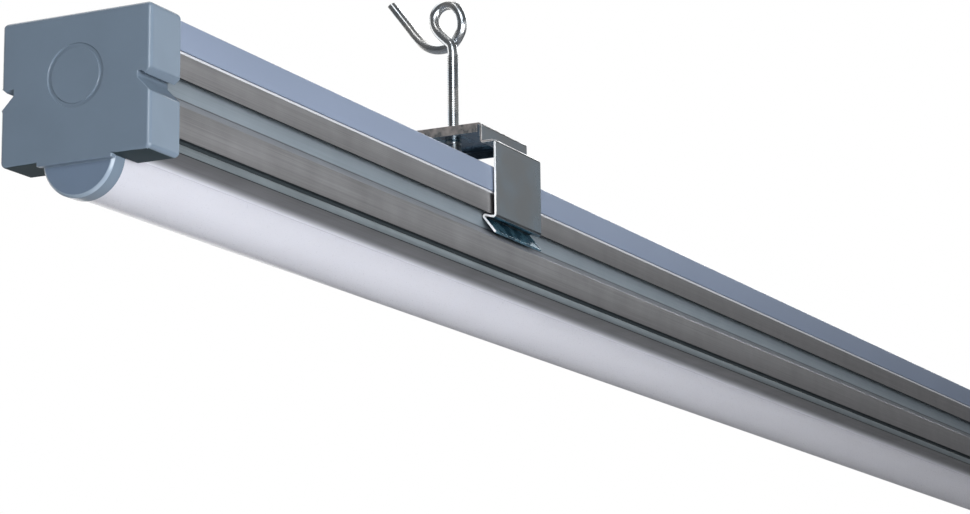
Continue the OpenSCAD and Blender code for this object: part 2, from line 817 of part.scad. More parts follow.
// Spring clip folded from one strip, with a flange along both sides of its plate
module clip() {
  color("#9a9a96") difference() {
    union() {
      along(-clip_w / 2, clip_w) both_sides() strip(rounded(clip_path, clip_bends, bend_steps), clip_t);
      for (s = [-1, 1]) translate([s * (clip_w - clip_t) / 2, 0, plate_z - flange_h / 2])
        cube([clip_t, 2 * (web_y - clip_t / 2 - flange_relief), flange_h], center = true);
    }
    translate([0, 0, plate_z - 2 * clip_t]) cylinder(r = bush_neck_r + run_gap, h = 4 * clip_t,
      $fn = round_fn);
    for (s = [-1, 1]) for (m = [0, 1]) mirror([0, m, 0]) shoulder_corner(s);
  }
}

// Rounds a leg's upper corner at one end of the clip
module shoulder_corner(s) {
  r = shoulder_corner_r;
  translate([s * (clip_w / 2 - r), leg_y + clip_t, shoulder_z - r]) rotate([90, 0, 0])
    linear_extrude(2 * clip_t) difference() {
      translate([s > 0 ? 0 : -r - over, 0]) square([r + over, r + over]);
      circle(r = r, $fn = round_fn);
    }
}

module at_clip(side) {
  translate([side * clip_pitch / 2, 0, 0]) children();
}

module clip_near() { at_clip(-1) clip(); }
module clip_far() { at_clip(1) clip(); }

// Round threaded bush: a peened lip above the plate, a shoulder below it and a grooved body
module hook_bush() {
  under = plate_z - clip_t - run_gap;
  color("#b9bcc0") difference() {
    union() {
      translate([0, 0, under - eps]) cylinder(r = bush_neck_r, h = clip_t + 2 * run_gap + 2 * eps,
        $fn = round_fn);
      translate([0, 0, plate_z + run_gap]) cylinder(r = bush_collar_r, h = bush_lip_t, $fn = round_fn);
      translate([0, 0, under - bush_shoulder_t]) cylinder(r = bush_collar_r, h = bush_shoulder_t,
        $fn = round_fn);
      translate([0, 0, under - bush_shoulder_t - bush_gap_t - eps])
        cylinder(r = bush_groove_r, h = bush_gap_t + 2 * eps, $fn = round_fn);
      translate([0, 0, under - bush_shoulder_t - bush_gap_t - bush_body_t])
        cylinder(r = bush_collar_r, h = bush_body_t, $fn = round_fn);
    }
    cylinder(r = bush_hole_r, h = plate_z + bush_lip_t + over, $fn = round_fn);
  }
}

module hook_bush_near() { at_clip(-1) hook_bush(); }
module hook_bush_far() { at_clip(1) hook_bush(); }

// Centre line of the pigtail's wire above the thread's upper end: a loop that passes behind its own
// shank, then the open tail
eye_points = [
  [0, 0, -1.5], [0, 0.1, 1.5], [0, 0.8, 4.5], [0.2, 3.2, 7], [0.4, 6.8, 10.6], [0.6, 9, 14],
  [0.9, 9.6, 17.5], [1.2, 8.6, 20.8], [1.5, 6.2, 23], [1.8, 3.2, 23.8], [2.2, 0.2, 22.9],
  [2.7, -2, 19.8], [3.3, -3, 15.7], [3.9, -2.4, 11.9], [4.4, -0.6, 8.9], [4.8, 1.4, 6.8],
  [5, 3.6, 5.4], [5, 6.6, 4.7], [5, 10.4, 4.9], [4.8, 14, 6], [4.6, 17.6, 8.4],
  [4.3, 21, 12.1], [4, 24.6, 17], [3.7, 28.6, 22.4], [3.4, 32.6, 27.8]
];

// A smooth curve through points, with a number of steps between each two
function curve(p, steps) = [
  for (i = [0:len(p) - 2]) for (k = [0:steps - 1]) let (
    t = k / steps,
    a = p[max(i - 1, 0)],
    b = p[i],
    c = p[i + 1],
    d = p[min(i + 2, len(p) - 1)]
  ) b + t * (c - a) / 2 + t * t * (a - 2.5 * b + 2 * c - d / 2)
    + t * t * t * (1.5 * b - a / 2 - 1.5 * c + d / 2),
  p[len(p) - 1]
];

// A round tube along a path, its rings kept in line with the loop's own plane
function ring_x(d) = unit([1, 0, 0] - d * d[0]);

module tube(path, r, sides) {
  n = len(path);
  dirs = [for (i = [0:n - 1]) unit(path[min(i + 1, n - 1)] - path[max(i - 1, 0)])];
  points = [
    for (i = [0:n - 1]) for (k = [0:sides - 1]) let (
      a = 360 * k / sides,
      u = ring_x(dirs[i]),
      v = cross(dirs[i], u)
    ) path[i] + r * (cos(a) * u + sin(a) * v)
  ];
  walls = [
    for (i = [0:n - 2]) for (k = [0:sides - 1]) let (j = (k + 1) % sides)
      each [
        [i * sides + k, (i + 1) * sides + k, (i + 1) * sides + j],
        [i * sides + k, (i + 1) * sides + j, i * sides + j]
      ]
  ];
  ends = [
    for (k = [1:sides - 2]) each [
      [0, k, k + 1],
      [(n - 1) * sides, (n - 1) * sides + k + 1, (n - 1) * sides + k]
    ]
  ];
  polyhedron(points, concat(walls, ends));
}

// Pigtail hook: a threaded shank with its open eye
module hook() {
  color("#c2c5c8") {
    translate([0, 0, thread_end_z + thread_tip]) cylinder(d = thread_d,
      h = thread_top_z - thread_end_z - thread_tip, $fn = round_fn);
    translate([0, 0, thread_end_z]) cylinder(d1 = thread_d - 2 * thread_tip, d2 = thread_d,
      h = thread_tip, $fn = round_fn);
    translate([0, 0, thread_top_z]) tube(curve(eye_points, eye_steps), wire_d / 2, eye_sides);
  }
}

module hook_near() { at_clip(-1) hook(); }
module hook_far() { at_clip(1) hook(); }

housing();
top_cover();
diffuser();
end_cap_near();
end_cap_far();
end_gasket_near();
end_gasket_far();
led_board_1();
led_board_2();
led_board_3();
led_chips();
board_screws();
board_plugs();
driver_case();
driver_lid();
driver_screws();
driver_input_block();
driver_output_block();
terminal_block();
live_lead();
neutral_lead();
earth_lead();
earth_tag();
earth_screw();
led_lead();
shelf_grommet();
gland_washer();
gland_body();
gland_locknut();
gland_seal();
gland_dome_nut();
clip_near();
clip_far();
hook_bush_near();
hook_bush_far();
hook_near();
hook_far();
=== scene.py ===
# Suspended linear light fixture: an aluminium extrusion with a painted top cover, moulded end caps,
# a half-round opal lens, and two spring clips with screw-in pigtail hooks. Lengths are in metres.
import math

import bmesh
import bpy
from mathutils import Matrix, Vector


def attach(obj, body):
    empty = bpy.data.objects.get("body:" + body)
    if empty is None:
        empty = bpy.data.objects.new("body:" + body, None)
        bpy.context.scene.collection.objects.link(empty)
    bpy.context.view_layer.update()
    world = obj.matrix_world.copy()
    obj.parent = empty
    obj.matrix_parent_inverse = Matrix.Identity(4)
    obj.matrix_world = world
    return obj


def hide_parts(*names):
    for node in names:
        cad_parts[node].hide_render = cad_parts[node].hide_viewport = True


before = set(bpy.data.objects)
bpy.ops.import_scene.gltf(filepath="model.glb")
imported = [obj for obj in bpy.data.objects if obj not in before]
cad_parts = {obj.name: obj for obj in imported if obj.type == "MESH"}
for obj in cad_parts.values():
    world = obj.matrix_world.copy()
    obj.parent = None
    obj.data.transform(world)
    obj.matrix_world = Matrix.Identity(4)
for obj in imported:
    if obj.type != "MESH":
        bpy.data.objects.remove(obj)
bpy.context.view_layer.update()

# Camera
# It stands below the near end and looks up along the fixture, as for a catalogue picture. Its place
# and its turn come from the vanishing points of the long edges and of the near cap's edges.
cam_place = (-1.58716, -0.57478, -0.30097)
cam_right = (0.44552, -0.89521, -0.01053)
cam_up = (-0.18047, -0.10133, 0.97835)
cam_back = (-0.87689, -0.43397, -0.20670)
picture_px = 970
focal_px = 2955.12
sensor_mm = 36

camera = bpy.data.objects.new("camera", bpy.data.cameras.new("camera"))
camera.data.sensor_width = sensor_mm
camera.data.lens = focal_px * sensor_mm / picture_px
camera.data.clip_start = 0.05
camera.data.clip_end = 60
cam_turn = Matrix((cam_right, cam_up, cam_back)).transposed().to_4x4()
camera.matrix_world = Matrix.Translation(cam_place) @ cam_turn
bpy.context.scene.collection.objects.link(camera)
bpy.context.scene.camera = camera

# Extrusion
# The body is one aluminium extrusion, 60 mm wide, left in its mill finish. Both side walls have the
# groove that the clips run in, and the floor is slotted for the lens.
body_x = 0.747
wall_y = 0.0296
wall_t = 0.0014
inner_y = wall_y - wall_t
rim_y = 0.0272
rim_z = -0.0014
seat_y = 0.0286
bead_y = 0.0299
bead_z = -0.0116
bead_h = 0.0005
lip_z = -0.0212
lip_bevel = 0.0004
groove_y = 0.0247
groove_top_z = -0.017
groove_low_z = -0.0264
flank_y = 0.0255
flank_top_z = -0.02723
flank_low_z = -0.0313
flank_offset = 0.00058
trim_y = 0.0278
trim_top_z = -0.0431
trim_low_z = -0.0452
body_low_z = -0.0485
floor_y = 0.0264
floor_top_z = -0.0469
floor_step_z = -0.0417
shelf_top_z = -0.0365
slot_y = 0.0145
slot_low_z = -0.05
blend_y = 0.0222
blend_steps = 12
body_corner_r = 0.00025
die_relief = 0.00004


def blend_points():
    """The concave blend from the flat underside down to the edge of the slot, ever steeper."""
    end_y = slot_y + 0.0002
    drop = body_low_z - slot_low_z
    shares = [k / blend_steps for k in range(blend_steps + 1)]
    return [(blend_y + (end_y - blend_y) * share, body_low_z - drop * share ** 3) for share in shares]


ledge_bead = [
    (bead_y - 0.00008, bead_z + 0.00032), (bead_y, bead_z), (bead_y - 0.00008, bead_z - 0.0003),
]
outer_wall = [
    (rim_y, rim_z), (seat_y, rim_z), (seat_y, bead_z + bead_h), (wall_y, bead_z + bead_h), *ledge_bead,
    (wall_y, bead_z - bead_h), (wall_y, lip_z), (inner_y, lip_z + lip_bevel),
    (inner_y, groove_top_z), (groove_y, groove_top_z), (groove_y, groove_low_z),
    (flank_y, flank_top_z), (wall_y, flank_low_z), (wall_y, trim_top_z), (trim_y, trim_top_z),
    (trim_y, trim_low_z), (wall_y, trim_low_z), (wall_y, body_low_z),
]
slot_side = [
    (slot_y, slot_low_z), (slot_y, floor_top_z), (floor_y, floor_top_z),
    (floor_y, floor_step_z), (inner_y, floor_step_z), (inner_y, shelf_top_z - wall_t),
]
inner_wall = [
    (inner_y, shelf_top_z), (inner_y, flank_low_z - flank_offset),
    (groove_y - wall_t, groove_low_z - flank_offset),
    (groove_y - wall_t, groove_top_z + wall_t), (rim_y, groove_top_z + wall_t),
]


def mirrored(points):
    """The same points on the left side, in the order that closes an outline."""
    return [(-y, z) for y, z in reversed(points)]


def both_walls(down, up):
    """A closed section from the right half's points: down its outside, then up its inside."""
    return down + mirrored(down) + mirrored(up) + up


FLOAT = "NodeSocketFloat"
COLOUR = "NodeSocketColor"
GEOMETRY = "NodeSocketGeometry"
MATERIAL = "NodeSocketMaterial"


def new_tree(kind, name, inputs, outputs):
    """A new node tree with named sockets, and its inner input and output nodes."""
    tree = bpy.data.node_groups.new(name, kind)
    for label, socket, *value in inputs:
        made = tree.interface.new_socket(label, in_out="INPUT", socket_type=socket)
        if value:
            made.default_value = value[0]
    for label, socket in outputs:
        tree.interface.new_socket(label, in_out="OUTPUT", socket_type=socket)
    return tree, tree.nodes.new("NodeGroupInput"), tree.nodes.new("NodeGroupOutput")


def finish_tree(node, link, piece, given, out):
    """Ends a Geometry Nodes tree: real geometry in its finish."""
    real = node("GeometryNodeRealizeInstances")
    coat = node("GeometryNodeSetMaterial")
    link(piece, real.inputs[0])
    link(real.outputs[0], coat.inputs["Geometry"])
    link(given.outputs["Finish"], coat.inputs["Material"])
    link(coat.outputs[0], out.inputs[0])


def sweep_tree():
    """Geometry Nodes that round a section's corners and run it along X between two ends."""
    tree, given, out = new_tree(
        "GeometryNodeTree", "section_sweep",
        [("Section", GEOMETRY), ("Corner radius", FLOAT, 0.0003), ("Start", FLOAT, -0.5),
         ("Length", FLOAT, 1.0), ("Smooth below", FLOAT, 0.6), ("Finish", MATERIAL)],
        [("Piece", GEOMETRY)],
    )
    node = tree.nodes.new
    link = tree.links.new
    # The section with round corners
    curve = node("GeometryNodeMeshToCurve")
    fillet = node("GeometryNodeFilletCurve")
    fillet.mode = "POLY"
    fillet.inputs["Limit Radius"].default_value = True
    fillet.inputs["Count"].default_value = 3
    fill = node("GeometryNodeFillCurve")
    fill.mode = "NGONS"
    link(given.outputs["Section"], curve.inputs["Mesh"])
    link(curve.outputs[0], fillet.inputs["Curve"])
    link(given.outputs["Corner radius"], fillet.inputs["Radius"])
    link(fillet.outputs[0], fill.inputs["Curve"])
    # Its walls, closed by a face at each end
    way = node("ShaderNodeCombineXYZ")
    push = node("GeometryNodeExtrudeMesh")
    push.inputs["Offset Scale"].default_value = 1
    push.inputs["Individual"].default_value = False
    flip = node("GeometryNodeFlipFaces")
    both = node("GeometryNodeJoinGeometry")
    weld = node("GeometryNodeMergeByDistance")
    weld.inputs["Distance"].default_value = 1e-7
    link(given.outputs["Length"], way.inputs["Z"])
    link(fill.outputs[0], push.inputs["Mesh"])
    link(way.outputs[0], push.inputs["Offset"])
    link(fill.outputs[0], flip.inputs["Mesh"])
    link(push.outputs["Mesh"], both.inputs[0])
    link(flip.outputs[0], both.inputs[0])
    link(both.outputs[0], weld.inputs["Geometry"])
    # Turned to lie along X
    place = node("ShaderNodeCombineXYZ")
    turn = node("GeometryNodeTransform")
    turn.inputs["Rotation"].default_value = (math.pi / 2, 0, math.pi / 2)
    link(given.outputs["Start"], place.inputs["X"])
    link(place.outputs[0], turn.inputs["Translation"])
    link(weld.outputs[0], turn.inputs["Geometry"])
    # Smooth round its corners and sharp at its ends
    shade = node("GeometryNodeSetShadeSmooth")
    shade.domain = "FACE"
    angle = node("GeometryNodeInputMeshEdgeAngle")
    sharp = node("FunctionNodeCompare")
    sharp.data_type = "FLOAT"
    sharp.operation = "GREATER_THAN"
    crease = node("GeometryNodeSetShadeSmooth")
    crease.domain = "EDGE"
    crease.inputs["Shade Smooth"].default_value = False
    link(turn.outputs[0], shade.inputs[0])
    link(shade.outputs[0], crease.inputs[0])
    link(angle.outputs["Unsigned Angle"], sharp.inputs[0])
    link(given.outputs["Smooth below"], sharp.inputs[1])
    link(sharp.outputs[0], crease.inputs["Selection"])
    finish_tree(node, link, crease.outputs[0], given, out)
    return tree


section_sweep = sweep_tree()


def plain_mesh(obj):
    """Turns what an object's modifiers make into its own mesh and removes them."""
    bpy.context.view_layer.update()
    made = bpy.data.meshes.new_from_object(obj.evaluated_get(bpy.context.evaluated_depsgraph_get()))
    obj.modifiers.clear()
    obj.data = made
    made.name = obj.name
    return obj


def with_nodes(obj, tree, **values):
    """Runs a Geometry Nodes tree over an object, its inputs set by name, and keeps the result."""
    mod = obj.modifiers.new("make", "NODES")
    mod.node_group = tree
    ids = {s.name: s.identifier for s in tree.interface.items_tree if s.in_out == "INPUT"}
    for name, value in values.items():
        mod[ids[name.replace("_", " ")]] = value
    return plain_mesh(obj)


def placed_mesh(name, points, edges, faces=()):
    """A new object with a mesh of its own, put in the scene."""
    mesh = bpy.data.meshes.new(name)
    mesh.from_pydata(points, edges, faces)
    obj = bpy.data.objects.new(name, mesh)
    bpy.context.scene.collection.objects.link(obj)
    return obj


def run_section(name, points, start, length, radius, finish):
    """A straight piece of one section, drawn as (y, z) and run along X."""
    count = len(points)
    edges = [(i, (i + 1) % count) for i in range(count)]
    obj = placed_mesh(name, [(y, z, 0) for y, z in points], edges)
    return with_nodes(obj, section_sweep, Corner_radius=radius, Start=start, Length=length,
                      Finish=finish)


def maths(node, link, operation, *values):
    """A Math node on numbers and sockets, and its result."""
    made = node("ShaderNodeMath")
    made.operation = operation
    for socket, value in zip(made.inputs, values):
        if isinstance(value, (int, float)):
            socket.default_value = value
        else:
            link(value, socket)
    return made.outputs[0]


def spread_out(node, link, source, low, high):
    """The values of a source between two limits, spread from 0 to 1."""
    made = node("ShaderNodeMapRange")
    made.inputs["From Min"].default_value = low
    made.inputs["From Max"].default_value = high
    link(source, made.inputs["Value"])
    return made.outputs[0]


def tinted(node, link, factor, first):
    """A colour mixed by a 0 to 1 value from a first one; the node's socket B takes the second."""
    made = node("ShaderNodeMix")
    made.data_type = "RGBA"
    link(factor, made.inputs["Factor"])
    link(first, made.inputs["A"])
    return made


def die_lines_group():
    """Fine drawn lines and broader bands that run along X, as an extrusion die leaves them."""
    group, given, out = new_tree(
        "ShaderNodeTree", "die_lines",
        [("Dark", COLOUR, (0.1, 0.1, 0.1, 1)), ("Light", COLOUR, (0.5, 0.5, 0.5, 1)),
         ("Fine scale", FLOAT, 2600.0), ("Band scale", FLOAT, 260.0), ("Mottle", FLOAT, 0.3)],
        [("Colour", COLOUR), ("Grain", FLOAT), ("Height", FLOAT)],
    )
    node = group.nodes.new
    link = group.links.new
    place = node("ShaderNodeTexCoord")

    def lines(scale, along):
        """Noise at a scale across the piece, drawn out along it."""
        stretch = node("ShaderNodeVectorMath")
        stretch.operation = "MULTIPLY"
        stretch.inputs[1].default_value = (along, 1, 1)
        grow = node("ShaderNodeVectorMath")
        grow.operation = "SCALE"
        link(place.outputs["Object"], stretch.inputs[0])
        link(stretch.outputs[0], grow.inputs[0])
        link(given.outputs[scale], grow.inputs["Scale"])
        noise = node("ShaderNodeTexNoise")
        noise.inputs["Scale"].default_value = 1
        noise.inputs["Detail"].default_value = 3
        noise.inputs["Roughness"].default_value = 0.65
        link(grow.outputs[0], noise.inputs["Vector"])
        return noise.outputs[0]

    fine = lines("Fine scale", 0.004)
    band = lines("Band scale", 0.006)
    drawn = maths(node, link, "MULTIPLY_ADD", fine, 0.55, maths(node, link, "MULTIPLY", band, 0.45))
    cloud = node("ShaderNodeTexNoise")
    cloud.inputs["Scale"].default_value = 55
    cloud.inputs["Detail"].default_value = 4
    link(place.outputs["Object"], cloud.inputs["Vector"])
    mottle = node("ShaderNodeMix")
    mottle.data_type = "FLOAT"
    link(given.outputs["Mottle"], mottle.inputs["Factor"])
    link(drawn, mottle.inputs["A"])
    link(cloud.outputs[0], mottle.inputs["B"])
    grain = spread_out(node, link, mottle.outputs["Result"], 0.34, 0.66)
    tint = tinted(node, link, grain, given.outputs["Dark"])
    link(given.outputs["Light"], tint.inputs["B"])
    link(tint.outputs["Result"], out.inputs["Colour"])
    link(grain, out.inputs["Grain"])
    link(fine, out.inputs["Height"])
    return group


die_lines = die_lines_group()


def new_finish(name, metallic=0.0, ior=1.5):
    """A material with one Principled shader, and short ways to add and join its nodes."""
    material = bpy.data.materials.new(name)
    material.use_nodes = True
    shader = material.node_tree.nodes["Principled BSDF"]
    shader.inputs["Metallic"].default_value = metallic
    shader.inputs["IOR"].default_value = ior
    return material, material.node_tree.nodes.new, material.node_tree.links.new, shader


def use_group(node, group, **values):
    """Places a shader node group in a material with its own values."""
    used = node("ShaderNodeGroup")
    used.node_tree = group
    for name, value in values.items():
        used.inputs[name.replace("_", " ")].default_value = value
    return used


def span(node, link, source, low, high, target):
    """Spreads a 0 to 1 value between two numbers into a shader's socket."""
    ramp = node("ShaderNodeMapRange")
    ramp.inputs["To Min"].default_value = low
    ramp.inputs["To Max"].default_value = high
    link(source, ramp.inputs["Value"])
    link(ramp.outputs[0], target)


def bump(node, link, height, shader, strength, distance):
    """Feeds a height into a shader's normal."""
    relief = node("ShaderNodeBump")
    relief.inputs["Strength"].default_value = strength
    relief.inputs["Distance"].default_value = distance
    link(height, relief.inputs["Height"])
    link(relief.outputs["Normal"], shader.inputs["Normal"])


def drawn_aluminium(name, dark, light, rough, metallic=1.0, relief=0.35):
    """Extruded aluminium with fine lines along it, from a dark and a light tone."""
    material, node, link, shader = new_finish(name, metallic=metallic)
    lines = use_group(node, die_lines, Dark=(*dark, 1), Light=(*light, 1))
    link(lines.outputs["Colour"], shader.inputs["Base Color"])
    span(node, link, lines.outputs["Grain"], rough + 0.08, rough - 0.08, shader.inputs["Roughness"])
    bump(node, link, lines.outputs["Height"], shader, relief, die_relief)
    return material


def slot_side_painted_reflection():
    """The underside's finish: dull at the walls, with a painted reflection of the lens that grows ever
    brighter towards the slot.
    """
    material, node, link, shader = new_finish("slot_side_painted_reflection", metallic=0.2)
    lines = use_group(node, die_lines, Dark=(0.068, 0.071, 0.075, 1), Light=(0.1, 0.103, 0.107, 1))
    place = node("ShaderNodeTexCoord")
    split = node("ShaderNodeSeparateXYZ")
    link(place.outputs["Object"], split.inputs[0])
    from_middle = maths(node, link, "ABSOLUTE", split.outputs["Y"])
    near_slot = spread_out(node, link, from_middle, blend_y, slot_y)
    # Painted reflection: the base colour rises towards the slot where the lens would show mirrored.
    painted_lens_reflection = maths(node, link, "POWER", near_slot, 3.3)
    tone = tinted(node, link, painted_lens_reflection, lines.outputs["Colour"])
    tone.inputs["B"].default_value = (0.77, 0.78, 0.84, 1)
    link(tone.outputs["Result"], shader.inputs["Base Color"])
    span(node, link, lines.outputs["Grain"], 0.52, 0.4, shader.inputs["Roughness"])
    bump(node, link, lines.outputs["Height"], shader, 0.15, die_relief)
    return material


def dulled(material):
    """Takes most of the gloss off a finish that lies in the shade of a lip or an edge."""
    material.node_tree.nodes["Principled BSDF"].inputs["Specular IOR Level"].default_value = 0.12


def finish_faces(obj, finish, chosen):
    """Gives the faces whose centre passes a test another finish."""
    obj.data.materials.append(finish)
    for face in obj.data.polygons:
        if chosen(face):
            face.material_index = len(obj.data.materials) - 1


# How far the tests below reach past the plane of a face, or stay short of the next one.
reach = 0.0001


def in_band(face, y_low, y_high, z_low, z_high):
    """Whether a face's centre lies between two distances from the middle and two heights."""
    return y_low < abs(face.center.y) < y_high and z_low < face.center.z < z_high


def in_groove(face):
    return in_band(face, groove_y - 2 * reach, wall_y - reach,
                   groove_low_z + 2 * reach, groove_top_z + 2 * reach)


def under_lip(face):
    near_lip = in_band(face, groove_y - 2 * reach, wall_y - reach / 2,
                       lip_z - reach / 2, groove_top_z + 5 * reach)
    return near_lip and (face.normal.z < -0.7 or abs(face.center.y) > 0.0275)


def on_flank(face):
    return in_band(face, groove_y - 2 * reach, wall_y - reach,
                   flank_low_z + reach, groove_low_z + 2 * reach)


def in_crease(face):
    return in_band(face, groove_y - 2 * reach, flank_y - reach,
                   flank_top_z + 0.3 * reach, groove_low_z + 3 * reach)


def on_blend(face):
    return slot_y < abs(face.center.y) < wall_y - 1.5 * reach and face.center.z < body_low_z + reach


def on_low_corner(face):
    return (abs(face.center.y) > wall_y - 4 * reach and face.center.z < body_low_z + 3 * reach
            and abs(face.normal.y) > 0.05)


def on_strip(face):
    between_corners = body_low_z + 2 * reach < face.center.z < trim_low_z - reach
    return abs(face.center.y) > wall_y - reach and between_corners


def in_trim(face):
    return in_band(face, trim_y - reach, wall_y - reach, trim_low_z - reach, trim_top_z + reach)


def on_ledge(face):
    return abs(face.center.y) > wall_y + reach / 2 and face.center.z > bead_z - 9 * reach


aluminium = drawn_aluminium("mill_aluminium", (0.265, 0.265, 0.27), (0.43, 0.42, 0.435), 0.4)
# Painted light: the groove gets a bluer, more diffuse copy of the mill finish, toned for the light it
# catches.
groove_painted_light = drawn_aluminium("groove_painted_light", (0.19, 0.225, 0.252), (0.24, 0.277, 0.31), 0.42,
                                   metallic=0.2, relief=0.1)
# Painted light: the flank gets a lighter copy of the mill finish, as if lit from the side.
flank_painted_light = drawn_aluminium("flank_painted_light", (0.34, 0.36, 0.39), (0.48, 0.5, 0.54), 0.35,
                                  metallic=0.5, relief=0.15)
# Painted shade: a dark copy of the mill finish along the crease at the groove's foot.
crease_painted_shade = drawn_aluminium("crease_painted_shade", (0.13, 0.14, 0.16), (0.2, 0.21, 0.23), 0.5,
                                   metallic=0.5)
# Painted shade: a near-black copy of the mill finish inside the trim groove.
trim_painted_shade = drawn_aluminium("trim_painted_shade", (0.02, 0.027, 0.031), (0.036, 0.045, 0.05), 0.5,
                                 metallic=0.1)
# Painted shade: a near-black copy of the mill finish under the groove's lip and along the lower corner.
lip_painted_shade = drawn_aluminium("lip_painted_shade", (0.008, 0.011, 0.013), (0.018, 0.023, 0.027), 0.5,
                                metallic=0.1)
# Painted light: a bluer copy of the mill finish on the strip below the trim groove.
strip_painted_light = drawn_aluminium("strip_painted_light", (0.23, 0.265, 0.285), (0.37, 0.42, 0.455), 0.4)
# Painted highlight: a near-white copy of the mill finish on the small bead under the cover's skirt.
ledge_painted_highlight = drawn_aluminium("ledge_painted_highlight", (0.7, 0.72, 0.76), (0.85, 0.87, 0.9), 0.4,
                                  metallic=0.5)
for finish in (trim_painted_shade, lip_painted_shade, groove_painted_light):
    dulled(finish)
extrusion = run_section(
    "extrusion", both_walls(outer_wall + blend_points() + slot_side, inner_wall),
    -body_x, 2 * body_x, body_corner_r, aluminium,
)
finish_faces(extrusion, groove_painted_light, in_groove)
finish_faces(extrusion, lip_painted_shade, under_lip)
finish_faces(extrusion, flank_painted_light, on_flank)
finish_faces(extrusion, crease_painted_shade, in_crease)
finish_faces(extrusion, slot_side_painted_reflection(), on_blend)
finish_faces(extrusion, strip_painted_light, on_strip)
finish_faces(extrusion, lip_painted_shade, on_low_corner)
finish_faces(extrusion, trim_painted_shade, in_trim)
finish_faces(extrusion, ledge_painted_highlight, on_ledge)
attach(extrusion, "luminaire")
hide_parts("housing")

# Top cover
# A painted channel that closes the extrusion from above. Its skirts snap over the walls and show as
# the blue-grey strip along both sides.
cover_y = 0.03
cover_in_y = 0.0288
cover_t = 0.0012
skirt_low_z = -0.0109
snap_z = -0.00545
snap_depth = 0.00045
cover_corner_r = 0.0004
skin_relief = 0.00003
cover_half = [
    (cover_y, 0), (cover_y, skirt_low_z), (cover_in_y, skirt_low_z), (cover_in_y, snap_z - snap_depth),
    (cover_in_y - snap_depth, snap_z), (cover_in_y, snap_z + snap_depth), (cover_in_y, -cover_t),
]


def satin_grain_group():
    """Fine grain and soft clouds of tone, for paint and moulded plastic."""
    group, given, out = new_tree(
        "ShaderNodeTree", "satin_grain",
        [("Colour", COLOUR, (0.5, 0.5, 0.5, 1)), ("Cloud depth", FLOAT, 0.06),
         ("Cloud scale", FLOAT, 35.0), ("Grain scale", FLOAT, 2400.0)],
        [("Colour", COLOUR), ("Grain", FLOAT)],
    )
    node = group.nodes.new
    link = group.links.new
    place = node("ShaderNodeTexCoord")
    cloud = node("ShaderNodeTexNoise")
    cloud.inputs["Detail"].default_value = 5
    grain = node("ShaderNodeTexNoise")
    grain.inputs["Detail"].default_value = 2
    for noise, label in ((cloud, "Cloud scale"), (grain, "Grain scale")):
        link(place.outputs["Object"], noise.inputs["Vector"])
        link(given.outputs[label], noise.inputs["Scale"])
    shade = node("ShaderNodeMapRange")
    shade.inputs["From Min"].default_value = 0.35
    shade.inputs["From Max"].default_value = 0.65
    link(cloud.outputs[0], shade.inputs["Value"])
    link(maths(node, link, "SUBTRACT", 1, given.outputs["Cloud depth"]), shade.inputs["To Min"])
    tint = node("ShaderNodeVectorMath")
    tint.operation = "SCALE"
    link(given.outputs["Colour"], tint.inputs[0])
    link(shade.outputs[0], tint.inputs["Scale"])
    link(tint.outputs[0], out.inputs["Colour"])
    link(grain.outputs[0], out.inputs["Grain"])
    return group


satin_grain = satin_grain_group()


def satin(name, colour, rough, depth=0.06, cloud=35.0, grain=2400.0, relief=0.12):
    """A painted or moulded finish: one colour with soft clouds, fine grain and an even satin gloss."""
    material, node, link, shader = new_finish(name)
    skin = use_group(node, satin_grain, Colour=(*colour, 1), Cloud_depth=depth, Cloud_scale=cloud,
                     Grain_scale=grain)
    link(skin.outputs["Colour"], shader.inputs["Base Color"])
    span(node, link, skin.outputs["Grain"], rough - 0.015, rough + 0.015, shader.inputs["Roughness"])
    bump(node, link, skin.outputs["Grain"], shader, relief, skin_relief)
    return material


cover_paint = satin("cover_paint", (0.19, 0.232, 0.318), 0.42, depth=0.05, cloud=12)
cover = run_section("cover", cover_half + mirrored(cover_half), -body_x, 2 * body_x, cover_corner_r,
                    cover_paint)
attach(cover, "luminaire")
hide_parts("top_cover")

# Lens
# The lens is a half-round extrusion of opal plastic. Its feet rest on the floor of the body, on both
# sides of the slot, so it hangs through it.
lens_r = 0.0144
lens_t = 0.0015
lens_z = -0.0499
lens_x = 0.7457
lens_steps = 48
lens_corner_r = 0.0001
foot_y = 0.0168
foot_low_z = -0.0468
foot_top_z = -0.0456
foot = [(lens_r, foot_low_z), (foot_y, foot_low_z), (foot_y, foot_top_z)]


def half_round(r):
    """Points of the lens's half circle, from its right side under it to its left side."""
    angles = [math.pi * k / lens_steps for k in range(lens_steps + 1)]
    return [(r * math.cos(a), lens_z - r * math.sin(a)) for a in angles]


def opal_plastic():
    """Opal plastic that lets light through, with a faint painted glow for the studio light scattered in
    it.
    """
    material, node, link, shader = new_finish("opal_plastic", ior=1.49)
    skin = use_group(node, satin_grain, Colour=(0.54, 0.54, 0.595, 1), Cloud_depth=0.02, Cloud_scale=9.0,
                     Grain_scale=1500.0)
    link(skin.outputs["Colour"], shader.inputs["Base Color"])
    span(node, link, skin.outputs["Grain"], 0.26, 0.3, shader.inputs["Roughness"])
    shader.inputs["Specular IOR Level"].default_value = 0.22
    shader.inputs["Subsurface Weight"].default_value = 0.6
    shader.inputs["Subsurface Radius"].default_value = (1, 0.95, 0.9)
    shader.inputs["Subsurface Scale"].default_value = 0.012
    # Painted glow: a faint emission stands in for studio light scattered through the lens.
    shader.inputs["Emission Color"].default_value = (0.96, 0.95, 1, 1)
    shader.inputs["Emission Strength"].default_value = 0.045
    return material


